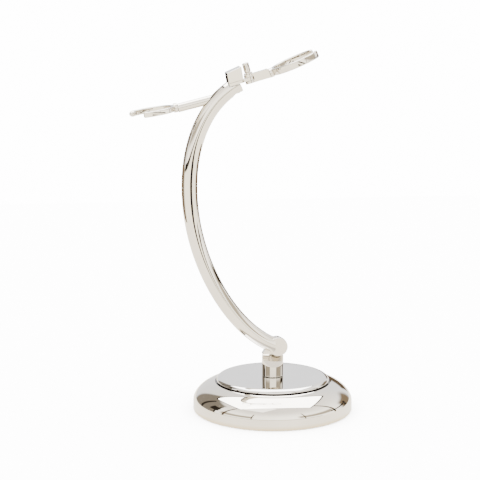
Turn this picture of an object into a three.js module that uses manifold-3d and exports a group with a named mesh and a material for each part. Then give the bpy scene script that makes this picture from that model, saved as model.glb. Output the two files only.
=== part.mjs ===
// Razor and brush stand: a weighted round base, a short post whose top carries a tilting
// curved stem, an open fork on a side arm and an open ring on an arm that swings.
// Millimetres, +Z up. The origin is the middle of the underside, on the post's axis. The stem,
// its arms and the hinge's swing lie in the XZ plane, and the front of the stand faces -Y.

import * as THREE from 'three';
import { mergeVertices } from 'three/addons/utils/BufferGeometryUtils.js';
import Module from 'manifold-3d';

const wasm = await Module();
wasm.setup();

// Clearance between neighbouring pieces
const GAP = 0.25;

// Base
const BASE_RADIUS = 39;
const RIM_Z = 0.4;
const WALL_TOP_Z = 5;
const DOME_TOP_Z = 14.3;
const DOME_TOP_RADIUS = 26;
const DOME_POWER = 1.11;
const DISC_RADIUS = 27.6;
const DISC_BOTTOM_Z = 13.6;
const DISC_TOP_Z = 16.8;
const CAVITY_RADIUS = 36.8;
const CAVITY_TOP_Z = 11;
const CAVITY_WALL_Z = 4.6;
const CAVITY_SHOULDER = { radius: 34.6, z: 8.2 };
const CAVITY_ROOF_RADIUS = 29.5;
const PAD_RADIUS = 36.2;
const PAD_TOP_Z = 1.05;
const PLATE_RADIUS = 36.4;
const PLATE_TOP_Z = 3.1;
const PLATE_SCREW_CIRCLE = 22;
const PLATE_SCREW_COUNT = 3;
const PLATE_SCREW = { headRadius: 2.5, headZ: 1.4, neckZ: 2.55, radius: 1.5, topZ: 7.6 };
const PLATE_SCREW_HOLE = { rimRadius: 3.1, radius: 1.75, topZ: 8.2 };
const NUT_POCKET_RADIUS = 7.5;
const NUT_POCKET_TOP_Z = 8.4;
const NUT_FLATS = 10;
const NUT_BOTTOM_Z = 3.7;
const NUT_TOP_Z = 6.95;
const CLAMP_WASHER_RADIUS = 6.6;
const CLAMP_WASHER_BOTTOM_Z = 7.2;

// Post, with a threaded stud below and a hinge tang above
const POST_RADIUS = 5.25;
const POST_FOOT_Z = DISC_TOP_Z + GAP;
const STUD_RADIUS = 3;
const STUD_END_Z = 4.3;
const SHOULDER_Z = 25.3;
const FACET_FRONT_Z = 22;
const FACET_BACK_Z = 27.4;
const TANG_FACE_Y = 0.6;
const TANG_BACK_Y = 4.4;
const TANG_RADIUS = 3.9;
const TANG_UNDERCUT = 3;
const REAR_FLAT_DROP = 0.4;
const ABOVE_POST_Z = 50;
const BESIDE_POST = 20;

// Tilt hinge, whose axis runs along Y
const HINGE = new THREE.Vector2(2.4, 31.8);
const HINGE_SCREW_RADIUS = 1.5;
const HINGE_HEAD_RADIUS = 2.9;
const HINGE_HEAD_HEIGHT = 1.9;
const HINGE_HEAD_CHAMFER = 0.4;
const HINGE_SHANK_LENGTH = 8;
const HINGE_SOCKET_RADIUS = 1.3;
const HINGE_SOCKET_DEPTH = 1.2;
const HINGE_BORE_FRONT_Y = -2.75;
const SPRING_WASHER_SPACE = 1.15;
const SPRING_WASHER_BACK = 0.9;
const SPRING_WASHER_RADIUS = 3.2;
const FRICTION_WASHER_RADIUS = 3.6;
const FRICTION_WASHER_FRONT_Y = -0.1;
const EYE_RADIUS = 4.6;
const EYE_FRONT_Y = -3.3;
const EYE_BACK_Y = -0.35;
const LAP_RADIUS = 8.9;

// Curved stem: two joined curves through the hinge, the outermost point and the head
const STEM_RADIUS = 3.85;
const STEM_ROOT_X = 0.9;
const STEM_OUTERMOST = new THREE.Vector2(-40.5, 110.5);
const STEM_TOP = new THREE.Vector2(-16.4, 159.95);
const STEM_ROOT_RISE = THREE.MathUtils.degToRad(14.5);
const STEM_TOP_RISE = THREE.MathUtils.degToRad(27);
const STEM_ROOT_REACH = 19.5;
const STEM_LOWER_REACH = 39;
const STEM_UPPER_REACH = 22;
const STEM_TOP_REACH = 18.2;

// Head: its frame has the swing pivot as origin and x along the right arm
const HEAD = new THREE.Vector2(-11.6, 162.2);
const HEAD_RISE = THREE.MathUtils.degToRad(16);
const HEAD_REACH = 10;
const BLOCK_HALF_DEPTH = 5;
const BLOCK_BEVEL = 0.35;
const BLOCK_LEFT = -10.6;
const BLOCK_RIGHT = -3.4;
const BLOCK_BOTTOM = 0.95;
const BLOCK_TOP_LEFT = new THREE.Vector2(-10.1, 6);
const BLOCK_TOP_RIGHT = new THREE.Vector2(-2.7, 7);
const PIVOT_PLATE_HALF = 0.7;
const PIVOT_PLATE_WIDTH = 6.4;
const PIVOT_PLATE_INSET = 0.3;
const PIVOT_PLATE_TAPER = { from: -0.6, to: 0.4 };
const PIVOT_LUG_RADIUS = 2.35;
const HEAD_SCREW_X = -7.8;
const HEAD_SCREW_RADIUS = 1.25;
const HEAD_SCREW_TIP_Z = 4.5;
const HEAD_SCREW_HEAD = { radius: 2, height: 1.3, chamfer: 0.3 };
const HEAD_SCREW_SLOT = { halfWidth: 0.35, depth: 0.6 };
const HEAD_BORE = { tipClearance: 0.4, headRadius: 2.3, bottomZ: -12 };
const SCREW_SEAT_Z = -3.4;
const PIVOT_RADIUS = 0.95;
const THUMB_RADIUS = 1.6;
const THUMB_BOTTOM_Z = 3.2;
const THUMB_TOP_Z = 7.8;
const THUMB_WASHER_RADIUS = 2.15;
const THUMB_WASHER_TOP_Z = 2.95;

// Right arm and right ring
const ARM_HALF_HEIGHT = 2.2;
const ARM_HALF_WIDTH = 1.7;
const ARM_END_HALF_WIDTH = 2.3;
const ARM_FLARE = { start: 5, middle: 8, end: 10, past: 12 };
const ARM_BEVEL = 0.3;
const ARM_SLOT_CLEARANCE = 0.3;
const RIGHT_RING = {
  centre: new THREE.Vector3(10.36, 0, 169.98),
  rise: THREE.MathUtils.degToRad(23.5),
  turn: 0,
  radius: 12.5,
  height: 3.4,
  tips: [THREE.MathUtils.degToRad(-33), THREE.MathUtils.degToRad(33)],
};

// Left arm and left fork
const LEFT_ARM_END = new THREE.Vector2(-45.6, 148.7);
const LEFT_ARM_RISE = THREE.MathUtils.degToRad(13.9);
const LEFT_ARM_RADIUS = 2.1;
const LEFT_ARM_LENGTH = 20.4;
const SPIGOT_RADIUS = 1.2;
const SPIGOT_LENGTH = 8;
const SPIGOT_SHOULDER = 3;
const LEFT_FORK = {
  centre: new THREE.Vector3(-58.42, 0, 146.99),
  rise: THREE.MathUtils.degToRad(9),
  turn: Math.PI,
  radius: 11.7,
  height: 2.7,
  tips: [THREE.MathUtils.degToRad(-40), THREE.MathUtils.degToRad(72)],
};

// Both rings
const BAND_WIDTH = 1.9;
const LOBE_RADIUS = 1.5;
const LOBE_STRETCH = 1.5;
const BOSS_RADIUS = 2.25;
const BOSS_LENGTH = 0.9;
const RING_SCREW_RADIUS = 0.6;
const RING_SCREW_HEAD = 0.95;
const RING_BEVEL = 0.25;
const RING_SCREW_SEAT = 1.2;
const RING_BORE = { inside: 4, length: 8 };
const RING_SEAT = { inside: 3, length: 3.4 };
const RING_SCREW_TOP = 0.85;
const RING_SCREW_SHOULDER = 0.15;
const RING_SCREW_REACH = 4;

const WIDE_TURN = 48;
const ROUND = 28;
const SMALL_ROUND = 16;

const FINISHES = {
  nickel: { color: 0xd8d3ca, roughness: 0.08, metalness: 1 },
  steel: { color: 0xb9bbbd, roughness: 0.3, metalness: 1 },
  iron: { color: 0x3b3c3d, roughness: 0.7, metalness: 0.8 },
  pad: { color: 0x1d1d1e, roughness: 0.9, metalness: 0 },
};

// --- Shape helpers ---

function cylinder(radius, bottom, top, segments = ROUND) {
  const shape = new THREE.CylinderGeometry(radius, radius, top - bottom, segments);
  return shape.rotateX(Math.PI / 2).translate(0, 0, (top + bottom) / 2);
}

// A cylinder along Y, centred on a point (x, z) of the XZ plane
function crossCylinder(centre, radius, front, back, segments = ROUND) {
  const shape = new THREE.CylinderGeometry(radius, radius, back - front, segments);
  return shape.translate(centre.x, (front + back) / 2, 0).translate(0, 0, centre.y);
}

function box(low, high) {
  const size = new THREE.Vector3(...high).sub(new THREE.Vector3(...low));
  const shape = new THREE.BoxGeometry(size.x, size.y, size.z);
  return shape.translate((low[0] + high[0]) / 2, (low[1] + high[1]) / 2, (low[2] + high[2]) / 2);
}

// A profile of (radius, z) points turned about the Z axis
function turned(points, segments = ROUND) {
  const profile = points.map(([radius, z]) => new THREE.Vector2(radius, z));
  return new THREE.LatheGeometry(profile, segments).rotateX(Math.PI / 2);
}

// A turned ring of plain rectangular section
function washer(inner, outer, bottom, top, segments = ROUND) {
  const corners = [[inner, bottom], [outer, bottom], [outer, top], [inner, top], [inner, bottom]];
  return turned(corners, segments);
}

// An outline drawn in the XZ plane, extruded along Y between two depths
function frontPrism(shape, front, back, options = {}) {
  const bevel = options.bevelEnabled ? options.bevelThickness : 0;
  const depth = back - front - 2 * bevel;
  const settings = { bevelEnabled: false, curveSegments: SMALL_ROUND, ...options, depth };
  return new THREE.ExtrudeGeometry(shape, settings).rotateX(Math.PI / 2).translate(0, back - bevel, 0);
}

function arcPoints(centreX, centreY, radiusX, radiusY, from, to, steps) {
  const points = [];
  for (let i = 0; i <= steps; i += 1) {
    const angle = from + ((to - from) * i) / steps;
    points.push([centreX + radiusX * Math.cos(angle), centreY + radiusY * Math.sin(angle)]);
  }
  return points;
}

// --- Booleans ---

function solid(geometry) {
  const bare = geometry.clone();
  bare.deleteAttribute('normal');
  bare.deleteAttribute('uv');
  const merged = mergeVertices(bare, 1e-4);
  const vertProperties = new Float32Array(merged.attributes.position.array);
  const triVerts = new Uint32Array(merged.index.array);
  return new wasm.Manifold(new wasm.Mesh({ numProp: 3, vertProperties, triVerts }));
}

function surface(manifold) {
  const mesh = manifold.getMesh();
  const geometry = new THREE.BufferGeometry();
  geometry.setAttribute('position', new THREE.BufferAttribute(mesh.vertProperties, 3));
  geometry.setIndex(new THREE.BufferAttribute(mesh.triVerts, 1));
  geometry.computeVertexNormals();
  return geometry;
}

function joined(first, ...others) {
  return surface(others.reduce((sum, other) => sum.add(solid(other)), solid(first)));
}

function cut(body, ...cutters) {
  return surface(cutters.reduce((rest, cutter) => rest.subtract(solid(cutter)), solid(body)));
}

function common(first, second) {
  return surface(solid(first).intersect(solid(second)));
}

// --- Placement ---

function piece(name, geometry, finish) {
  const mesh = new THREE.Mesh(geometry, new THREE.MeshStandardMaterial(FINISHES[finish]));
  mesh.name = name;
  return mesh;
}

function frameAt(x, z, rise, turn = 0) {
  const group = new THREE.Group();
  group.position.set(x, 0, z);
  group.rotation.set(0, -rise, turn);
  group.updateMatrix();
  return group;
}

const headFrame = frameAt(HEAD.x, HEAD.y, HEAD_RISE);
const leftArmFrame = frameAt(LEFT_ARM_END.x, LEFT_ARM_END.y, LEFT_ARM_RISE);
const rightRingFrame = ringFrame(RIGHT_RING);
const leftForkFrame = ringFrame(LEFT_FORK);

function ringFrame(ring) {
  return frameAt(ring.centre.x, ring.centre.z, ring.rise, ring.turn);
}

// A geometry of one frame, seen in the stand's own frame
function outOf(frame, geometry) {
  return geometry.clone().applyMatrix4(frame.matrix);
}

// A geometry of the stand's own frame, seen in another frame
function into(frame, geometry) {
  return geometry.clone().applyMatrix4(frame.matrix.clone().invert());
}

// --- Base ---

function domeProfile() {
  const steps = 10;
  const points = [];
  for (let i = 0; i <= steps; i += 1) {
    const angle = (Math.PI / 2) * (i / steps);
    const radius = DOME_TOP_RADIUS + (BASE_RADIUS - DOME_TOP_RADIUS) * Math.cos(angle) ** DOME_POWER;
    if (radius > DISC_RADIUS + GAP) {
      points.push([radius, WALL_TOP_Z + (DOME_TOP_Z - WALL_TOP_Z) * Math.sin(angle) ** DOME_POWER]);
    }
  }
  return points;
}

// Cavity under the dome, or the weight that fills it when drawn in by a clearance
function cavityCorners(clearance) {
  return [
    [CAVITY_RADIUS - clearance, CAVITY_WALL_Z - clearance],
    [CAVITY_SHOULDER.radius - clearance, CAVITY_SHOULDER.z - clearance],
    [CAVITY_ROOF_RADIUS - clearance, CAVITY_TOP_Z - clearance],
  ];
}

function baseShell() {
  const edge = 0.6;
  const seatLip = 0.1;
  const boreRadius = STUD_RADIUS + GAP;
  const seatRadius = DISC_RADIUS + GAP;
  const seatZ = DISC_BOTTOM_Z - GAP;
  const profile = [
    [CAVITY_RADIUS, RIM_Z],
    [BASE_RADIUS - edge, RIM_Z],
    ...arcPoints(BASE_RADIUS - edge, RIM_Z + edge, edge, edge, -Math.PI / 4, 0, 2),
    ...domeProfile(),
    [seatRadius, DOME_TOP_Z - seatLip],
    [seatRadius, seatZ],
    [boreRadius, seatZ],
    [boreRadius, CAVITY_TOP_Z],
    ...cavityCorners(0).reverse(),
    [CAVITY_RADIUS, RIM_Z],
  ];
  return turned(profile, WIDE_TURN);
}

function topDisc() {
  const bore = STUD_RADIUS + GAP;
  const rollWidth = 2.6;
  const rollHeight = 2;
  const rollZ = DISC_TOP_Z - rollHeight;
  const undercut = 0.8;
  return turned([
    [bore, DISC_BOTTOM_Z],
    [DISC_RADIUS - undercut, DISC_BOTTOM_Z],
    ...arcPoints(DISC_RADIUS - rollWidth, rollZ, rollWidth, rollHeight, 0, Math.PI / 2, 5),
    [bore, DISC_TOP_Z],
    [bore, DISC_BOTTOM_Z],
  ], WIDE_TURN);
}

function screwCircle(index) {
  const angle = Math.PI / 2 + (index * 2 * Math.PI) / PLATE_SCREW_COUNT;
  return [PLATE_SCREW_CIRCLE * Math.cos(angle), PLATE_SCREW_CIRCLE * Math.sin(angle)];
}

function atScrews(makeCutter) {
  const cutters = [];
  for (let i = 0; i < PLATE_SCREW_COUNT; i += 1) {
    cutters.push(makeCutter().translate(...screwCircle(i), 0));
  }
  return cutters;
}

function baseWeight() {
  const bottom = PLATE_TOP_Z + GAP;
  const studClearance = 0.4;
  const bore = STUD_RADIUS + studClearance;
  const profile = [
    [NUT_POCKET_RADIUS, bottom],
    [CAVITY_RADIUS - GAP, bottom],
    ...cavityCorners(GAP),
    [bore, CAVITY_TOP_Z - GAP],
    [bore, NUT_POCKET_TOP_Z],
    [NUT_POCKET_RADIUS, NUT_POCKET_TOP_Z],
    [NUT_POCKET_RADIUS, bottom],
  ];
  const { radius, topZ } = PLATE_SCREW_HOLE;
  const tappedHole = () => cylinder(radius, bottom - 1, topZ, SMALL_ROUND);
  return cut(turned(profile, WIDE_TURN), ...atScrews(tappedHole));
}

function basePlate() {
  const { rimRadius, radius } = PLATE_SCREW_HOLE;
  const below = 1;
  const above = 4;
  const profile = [[0, below], [rimRadius, below], [radius, PLATE_SCREW.neckZ], [radius, above], [0, above]];
  const sunkHole = () => turned(profile, SMALL_ROUND);
  return cut(cylinder(PLATE_RADIUS, PAD_TOP_Z + GAP, PLATE_TOP_Z, WIDE_TURN), ...atScrews(sunkHole));
}

function plateScrew() {
  const { headRadius, headZ, neckZ, radius, topZ } = PLATE_SCREW;
  return turned([[0, headZ], [headRadius, headZ], [radius, neckZ], [radius, topZ], [0, topZ]], SMALL_ROUND);
}

function hexagon(acrossFlats, bottom, top) {
  return cylinder(acrossFlats / Math.sqrt(3), bottom, top, 6);
}

function clampNut() {
  const bore = cylinder(STUD_RADIUS + GAP, 0, DISC_TOP_Z, SMALL_ROUND);
  return cut(hexagon(NUT_FLATS, NUT_BOTTOM_Z, NUT_TOP_Z), bore);
}

function clampWasher() {
  const top = NUT_POCKET_TOP_Z - GAP;
  return washer(STUD_RADIUS + GAP, CLAMP_WASHER_RADIUS, CLAMP_WASHER_BOTTOM_Z, top);
}

function buildBase() {
  const base = new THREE.Group();
  base.add(
    piece('base_shell', baseShell(), 'nickel'),
    piece('top_disc', topDisc(), 'nickel'),
    piece('base_weight', baseWeight(), 'iron'),
    piece('base_plate', basePlate(), 'steel'),
    piece('base_pad', cylinder(PAD_RADIUS, 0, PAD_TOP_Z, WIDE_TURN), 'pad'),
    piece('clamp_washer', clampWasher(), 'steel'),
    piece('clamp_nut', clampNut(), 'steel'),
  );
  for (let i = 0; i < PLATE_SCREW_COUNT; i += 1) {
    const screw = piece(`plate_screw_${i + 1}`, plateScrew(), 'steel');
    screw.position.set(...screwCircle(i), 0);
    base.add(screw);
  }
  return base;
}

// --- Post and tilt hinge ---

// Front outline of the post: straight sides that round over towards the hinge
function postOutline() {
  const shoulderDrop = 2;
  const shoulder = new THREE.Vector2(0, SHOULDER_Z);
  const reach = HINGE.clone().sub(shoulder);
  const spread = Math.acos((POST_RADIUS - TANG_RADIUS) / reach.length());
  const left = reach.angle() + spread;
  const right = reach.angle() - spread;
  const shape = new THREE.Shape();
  shape.moveTo(POST_RADIUS, POST_FOOT_Z);
  shape.lineTo(POST_RADIUS, SHOULDER_Z - shoulderDrop);
  shape.absarc(HINGE.x, HINGE.y, TANG_RADIUS, right, left, false);
  shape.absarc(0, SHOULDER_Z, POST_RADIUS, left, Math.PI, false);
  shape.lineTo(-POST_RADIUS, POST_FOOT_Z);
  return shape;
}

// What the front of the post loses: a slanting facet, then a flat face in front of the tang
function frontRelief() {
  const slope = (FACET_BACK_Z - FACET_FRONT_Z) / (TANG_FACE_Y + POST_RADIUS);
  const front = -POST_RADIUS - 1;
  const width = 30;
  const shape = new THREE.Shape();
  shape.moveTo(front, FACET_FRONT_Z - slope);
  shape.lineTo(TANG_FACE_Y, FACET_BACK_Z);
  shape.lineTo(TANG_FACE_Y, ABOVE_POST_Z);
  shape.lineTo(front, ABOVE_POST_Z);
  const settings = { depth: width, bevelEnabled: false };
  const relief = new THREE.ExtrudeGeometry(shape, settings).rotateX(Math.PI / 2).rotateZ(Math.PI / 2);
  return relief.translate(-width / 2, 0, 0);
}

function post() {
  const outline = postOutline();
  const barrel = cylinder(POST_RADIUS, POST_FOOT_Z, HINGE.y + TANG_RADIUS, ROUND);
  const trimmed = common(barrel, frontPrism(outline, -POST_RADIUS - 1, POST_RADIUS + 1));
  const whole = joined(trimmed, frontPrism(outline, TANG_FACE_Y, TANG_BACK_Y));
  const side = BESIDE_POST;
  const tangFoot = box([-side, TANG_FACE_Y - TANG_UNDERCUT, 0], [side, side, FACET_BACK_Z]);
  const overhang = cut(tangFoot, cylinder(POST_RADIUS, -1, ABOVE_POST_Z));
  const rearFlat = box([-side, TANG_BACK_Y, FACET_BACK_Z - REAR_FLAT_DROP], [side, side, ABOVE_POST_Z]);
  const bore = crossCylinder(HINGE, HINGE_SCREW_RADIUS + GAP, -side, side, SMALL_ROUND);
  const shaped = cut(whole, overhang, rearFlat, frontRelief(), bore);
  return joined(shaped, cylinder(STUD_RADIUS, STUD_END_Z, POST_FOOT_Z + 1, ROUND));
}

function hingeWasher(outer, front, back) {
  return cut(
    crossCylinder(HINGE, outer, front, back),
    crossCylinder(HINGE, HINGE_SCREW_RADIUS + GAP, front - 1, back + 1, SMALL_ROUND),
  );
}

function frictionWasher() {
  return hingeWasher(FRICTION_WASHER_RADIUS, FRICTION_WASHER_FRONT_Y, TANG_FACE_Y - GAP);
}

function springWasher() {
  return hingeWasher(SPRING_WASHER_RADIUS, TANG_BACK_Y + GAP, TANG_BACK_Y + SPRING_WASHER_BACK);
}

function hingeScrew() {
  const outerFace = TANG_BACK_Y + SPRING_WASHER_SPACE + HINGE_HEAD_HEIGHT;
  const end = HINGE_HEAD_HEIGHT + HINGE_SHANK_LENGTH;
  const profile = [
    [0, 0],
    [HINGE_HEAD_RADIUS - HINGE_HEAD_CHAMFER, 0],
    [HINGE_HEAD_RADIUS, HINGE_HEAD_CHAMFER],
    [HINGE_HEAD_RADIUS, HINGE_HEAD_HEIGHT],
    [HINGE_SCREW_RADIUS, HINGE_HEAD_HEIGHT],
    [HINGE_SCREW_RADIUS, end],
    [0, end],
  ];
  const screw = turned(profile, ROUND).rotateX(Math.PI / 2).translate(HINGE.x, outerFace, HINGE.y);
  const radius = HINGE_SOCKET_RADIUS;
  const socket = new THREE.CylinderGeometry(radius, radius, 2 * HINGE_SOCKET_DEPTH, 6);
  return cut(screw, socket.translate(HINGE.x, outerFace, HINGE.y));
}

// --- Curved stem ---

function stemPath() {
  const outermost = STEM_OUTERMOST;
  const rootReach = new THREE.Vector2(-Math.cos(STEM_ROOT_RISE), Math.sin(STEM_ROOT_RISE));
  const topReach = new THREE.Vector2(-Math.cos(STEM_TOP_RISE), -Math.sin(STEM_TOP_RISE));
  const upright = (x, z) => new THREE.Vector3(x, 0, z);
  const raised = (point) => upright(point.x, point.y);
  const path = new THREE.CurvePath();
  path.add(new THREE.CubicBezierCurve3(
    raised(HINGE),
    raised(HINGE.clone().addScaledVector(rootReach, STEM_ROOT_REACH)),
    upright(outermost.x, outermost.y - STEM_LOWER_REACH),
    raised(outermost),
  ));
  path.add(new THREE.CubicBezierCurve3(
    raised(outermost),
    upright(outermost.x, outermost.y + STEM_UPPER_REACH),
    raised(STEM_TOP.clone().addScaledVector(topReach, STEM_TOP_REACH)),
    raised(STEM_TOP),
  ));
  return path;
}

function stemRod(radius) {
  const section = new THREE.Shape().absarc(0, 0, radius, 0, 2 * Math.PI);
  const settings = { steps: 46, curveSegments: 10, bevelEnabled: false, extrudePath: stemPath() };
  return new THREE.ExtrudeGeometry(section, settings);
}

// Flat on the stem's top end, where the pivot plate and the head block sit
function headSeat() {
  const left = BLOCK_LEFT - GAP;
  const floor = -PIVOT_PLATE_HALF - GAP;
  const reach = HEAD_REACH;
  return outOf(headFrame, box([left, -reach, floor], [reach, reach, reach]));
}

function headScrewBores() {
  const { tipClearance, headRadius, bottomZ } = HEAD_BORE;
  const shank = cylinder(HEAD_SCREW_RADIUS + GAP, bottomZ, HEAD_SCREW_TIP_Z + tipClearance, SMALL_ROUND);
  const head = cylinder(headRadius, bottomZ, SCREW_SEAT_Z, SMALL_ROUND);
  return [shank, head].map((bore) => bore.translate(HEAD_SCREW_X, 0, 0));
}

function leftArmSpigot(radius) {
  const spigot = cylinder(radius, LEFT_ARM_LENGTH - SPIGOT_LENGTH, LEFT_ARM_LENGTH, SMALL_ROUND);
  return spigot.rotateY(Math.PI / 2);
}

function curvedStem() {
  const depth = 10;
  const pastRoot = box([STEM_ROOT_X, -depth, HINGE.y - depth], [BESIDE_POST, depth, HINGE.y + depth]);
  const lap = crossCylinder(HINGE, LAP_RADIUS, EYE_BACK_Y, depth);
  const rod = cut(stemRod(STEM_RADIUS), pastRoot, lap);
  const withEye = joined(rod, crossCylinder(HINGE, EYE_RADIUS, EYE_FRONT_Y, EYE_BACK_Y));
  const hingeBore = crossCylinder(HINGE, HINGE_SCREW_RADIUS + GAP, HINGE_BORE_FRONT_Y, 1, SMALL_ROUND);
  const armBore = outOf(leftArmFrame, leftArmSpigot(SPIGOT_RADIUS + GAP).translate(GAP, 0, 0));
  const screwBores = headScrewBores().map((bore) => outOf(headFrame, bore));
  return cut(withEye, hingeBore, headSeat(), armBore, ...screwBores);
}

// --- Open rings ---

// Plan of the band: an arc that is open towards +x, with a round tip at each end
function bandOutline(ring) {
  const outer = ring.radius;
  const inner = ring.radius - BAND_WIDTH;
  const middle = (outer + inner) / 2;
  const turn = 2 * Math.PI;
  const low = ring.tips[1];
  const high = ring.tips[0] + turn;
  const at = (angle) => [middle * Math.cos(angle), middle * Math.sin(angle)];
  const shape = new THREE.Shape();
  shape.absarc(0, 0, outer, low, high, false);
  shape.absarc(...at(high), BAND_WIDTH / 2, high, high + Math.PI, false);
  shape.absarc(0, 0, inner, high, low, true);
  shape.absarc(...at(low), BAND_WIDTH / 2, low + Math.PI, low + turn, false);
  return shape;
}

// A soft rounded end, drawn out along the band, on one tip of the left fork
function endLobe(ring) {
  const middle = ring.radius - BAND_WIDTH / 2;
  const lobe = new THREE.SphereGeometry(LOBE_RADIUS, 14, 9).scale(1, LOBE_STRETCH, 1);
  return lobe.translate(middle, 0, 0).rotateZ(ring.tips[0]);
}

function openRing(ring) {
  const bevel = RING_BEVEL;
  const middle = ring.radius - BAND_WIDTH / 2;
  const band = new THREE.ExtrudeGeometry(bandOutline(ring), {
    depth: ring.height - 2 * bevel,
    bevelEnabled: true,
    bevelThickness: bevel,
    bevelSize: bevel,
    bevelOffset: -bevel,
    bevelSegments: 1,
    curveSegments: 16,
  }).translate(0, 0, bevel - ring.height / 2);
  const boss = cylinder(BOSS_RADIUS, 0, BOSS_LENGTH + BAND_WIDTH / 2, SMALL_ROUND);
  boss.rotateY(-Math.PI / 2).translate(-middle, 0, 0);
  const bore = cylinder(RING_SCREW_RADIUS + GAP, 0, RING_BORE.length, SMALL_ROUND);
  bore.rotateY(-Math.PI / 2).translate(RING_BORE.inside - middle, 0, 0);
  const seat = cylinder(RING_SCREW_SEAT, 0, RING_SEAT.length, SMALL_ROUND);
  seat.rotateY(-Math.PI / 2).translate(RING_SEAT.inside - middle, 0, 0);
  return cut(joined(band, boss), bore, seat);
}

// Screw that runs from inside a ring, through its wall and boss, into the arm's end
function ringScrew(ring) {
  const top = RING_SCREW_TOP;
  const shoulder = RING_SCREW_SHOULDER;
  const face = ring.radius + BOSS_LENGTH;
  const middle = ring.radius - BAND_WIDTH / 2;
  const shankEnd = face - middle + RING_SCREW_REACH;
  const head = RING_SCREW_HEAD;
  const crown = 0.75 * head;
  const profile = [[0, -top], [crown, -top], [head, shoulder - top / 2], [head, shoulder]];
  profile.push([RING_SCREW_RADIUS, shoulder], [RING_SCREW_RADIUS, shankEnd], [0, shankEnd]);
  return turned(profile, SMALL_ROUND).rotateY(-Math.PI / 2).translate(-middle, 0, 0);
}

// Everything past the end of an arm, on the ring's side, and the screw's hole in that end
function armEndCutters(ring, frame) {
  const face = ring.radius + BOSS_LENGTH + GAP;
  const reach = 12;
  const beyond = box([-face, -reach, -reach], [reach, reach, reach]);
  const hole = cylinder(RING_SCREW_RADIUS + GAP, 0, RING_SCREW_REACH + 1, SMALL_ROUND);
  hole.rotateY(-Math.PI / 2).translate(1 - face, 0, 0);
  return [outOf(frame, beyond), outOf(frame, hole)];
}

// --- Left arm ---

function leftArm() {
  const rod = cylinder(LEFT_ARM_RADIUS, -2, LEFT_ARM_LENGTH, ROUND).rotateY(Math.PI / 2);
  const stemSpace = into(leftArmFrame, stemRod(STEM_RADIUS + GAP));
  const endCutters = armEndCutters(LEFT_FORK, leftForkFrame).map((cutter) => into(leftArmFrame, cutter));
  const shouldered = cut(rod, stemSpace, ...endCutters);
  const half = 5;
  const inner = box([LEFT_ARM_LENGTH - SPIGOT_SHOULDER, -half, -half], [LEFT_ARM_LENGTH + 2, half, half]);
  return joined(cut(shouldered, inner), leftArmSpigot(SPIGOT_RADIUS));
}

// --- Head ---

function blockOutline() {
  const inset = BLOCK_BEVEL;
  const shape = new THREE.Shape();
  shape.moveTo(BLOCK_LEFT + inset, BLOCK_BOTTOM + inset);
  shape.lineTo(BLOCK_RIGHT - inset, BLOCK_BOTTOM + inset);
  shape.lineTo(BLOCK_TOP_RIGHT.x - inset, BLOCK_TOP_RIGHT.y - inset);
  shape.lineTo(BLOCK_TOP_LEFT.x + inset, BLOCK_TOP_LEFT.y - inset);
  return shape;
}

function headBlock() {
  const bevel = {
    bevelEnabled: true,
    bevelThickness: BLOCK_BEVEL,
    bevelSize: BLOCK_BEVEL,
    bevelSegments: 2,
  };
  const block = frontPrism(blockOutline(), -BLOCK_HALF_DEPTH, BLOCK_HALF_DEPTH, bevel);
  return cut(block, headScrewBores()[0]);
}

function pivotPlate() {
  const half = PIVOT_PLATE_WIDTH / 2;
  const lug = PIVOT_LUG_RADIUS;
  const left = BLOCK_LEFT + PIVOT_PLATE_INSET;
  const taperFrom = BLOCK_RIGHT + PIVOT_PLATE_TAPER.from;
  const taperTo = BLOCK_RIGHT + PIVOT_PLATE_TAPER.to;
  const shape = new THREE.Shape();
  shape.moveTo(left, half);
  shape.lineTo(left, -half);
  shape.lineTo(taperFrom, -half);
  shape.lineTo(taperTo, -lug);
  shape.absarc(0, 0, lug, -Math.PI / 2, Math.PI / 2, false);
  shape.lineTo(taperTo, lug);
  shape.lineTo(taperFrom, half);
  const settings = { depth: 2 * PIVOT_PLATE_HALF, bevelEnabled: false, curveSegments: SMALL_ROUND };
  const plate = new THREE.ExtrudeGeometry(shape, settings).translate(0, 0, -PIVOT_PLATE_HALF);
  const pivotBore = cylinder(PIVOT_RADIUS + GAP, -5, 5, SMALL_ROUND);
  return cut(plate, pivotBore, headScrewBores()[0]);
}

function headScrew() {
  const seat = SCREW_SEAT_Z - GAP;
  const { radius, height, chamfer } = HEAD_SCREW_HEAD;
  const { halfWidth, depth } = HEAD_SCREW_SLOT;
  const bottom = seat - height;
  const shank = HEAD_SCREW_RADIUS;
  const profile = [[0, bottom], [radius - chamfer, bottom], [radius, bottom + chamfer], [radius, seat]];
  profile.push([shank, seat], [shank, HEAD_SCREW_TIP_Z], [0, HEAD_SCREW_TIP_Z]);
  const slot = box([-radius - 1, -halfWidth, bottom - 1], [radius + 1, halfWidth, bottom + depth]);
  return cut(turned(profile, SMALL_ROUND), slot).translate(HEAD_SCREW_X, 0, 0);
}

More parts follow.
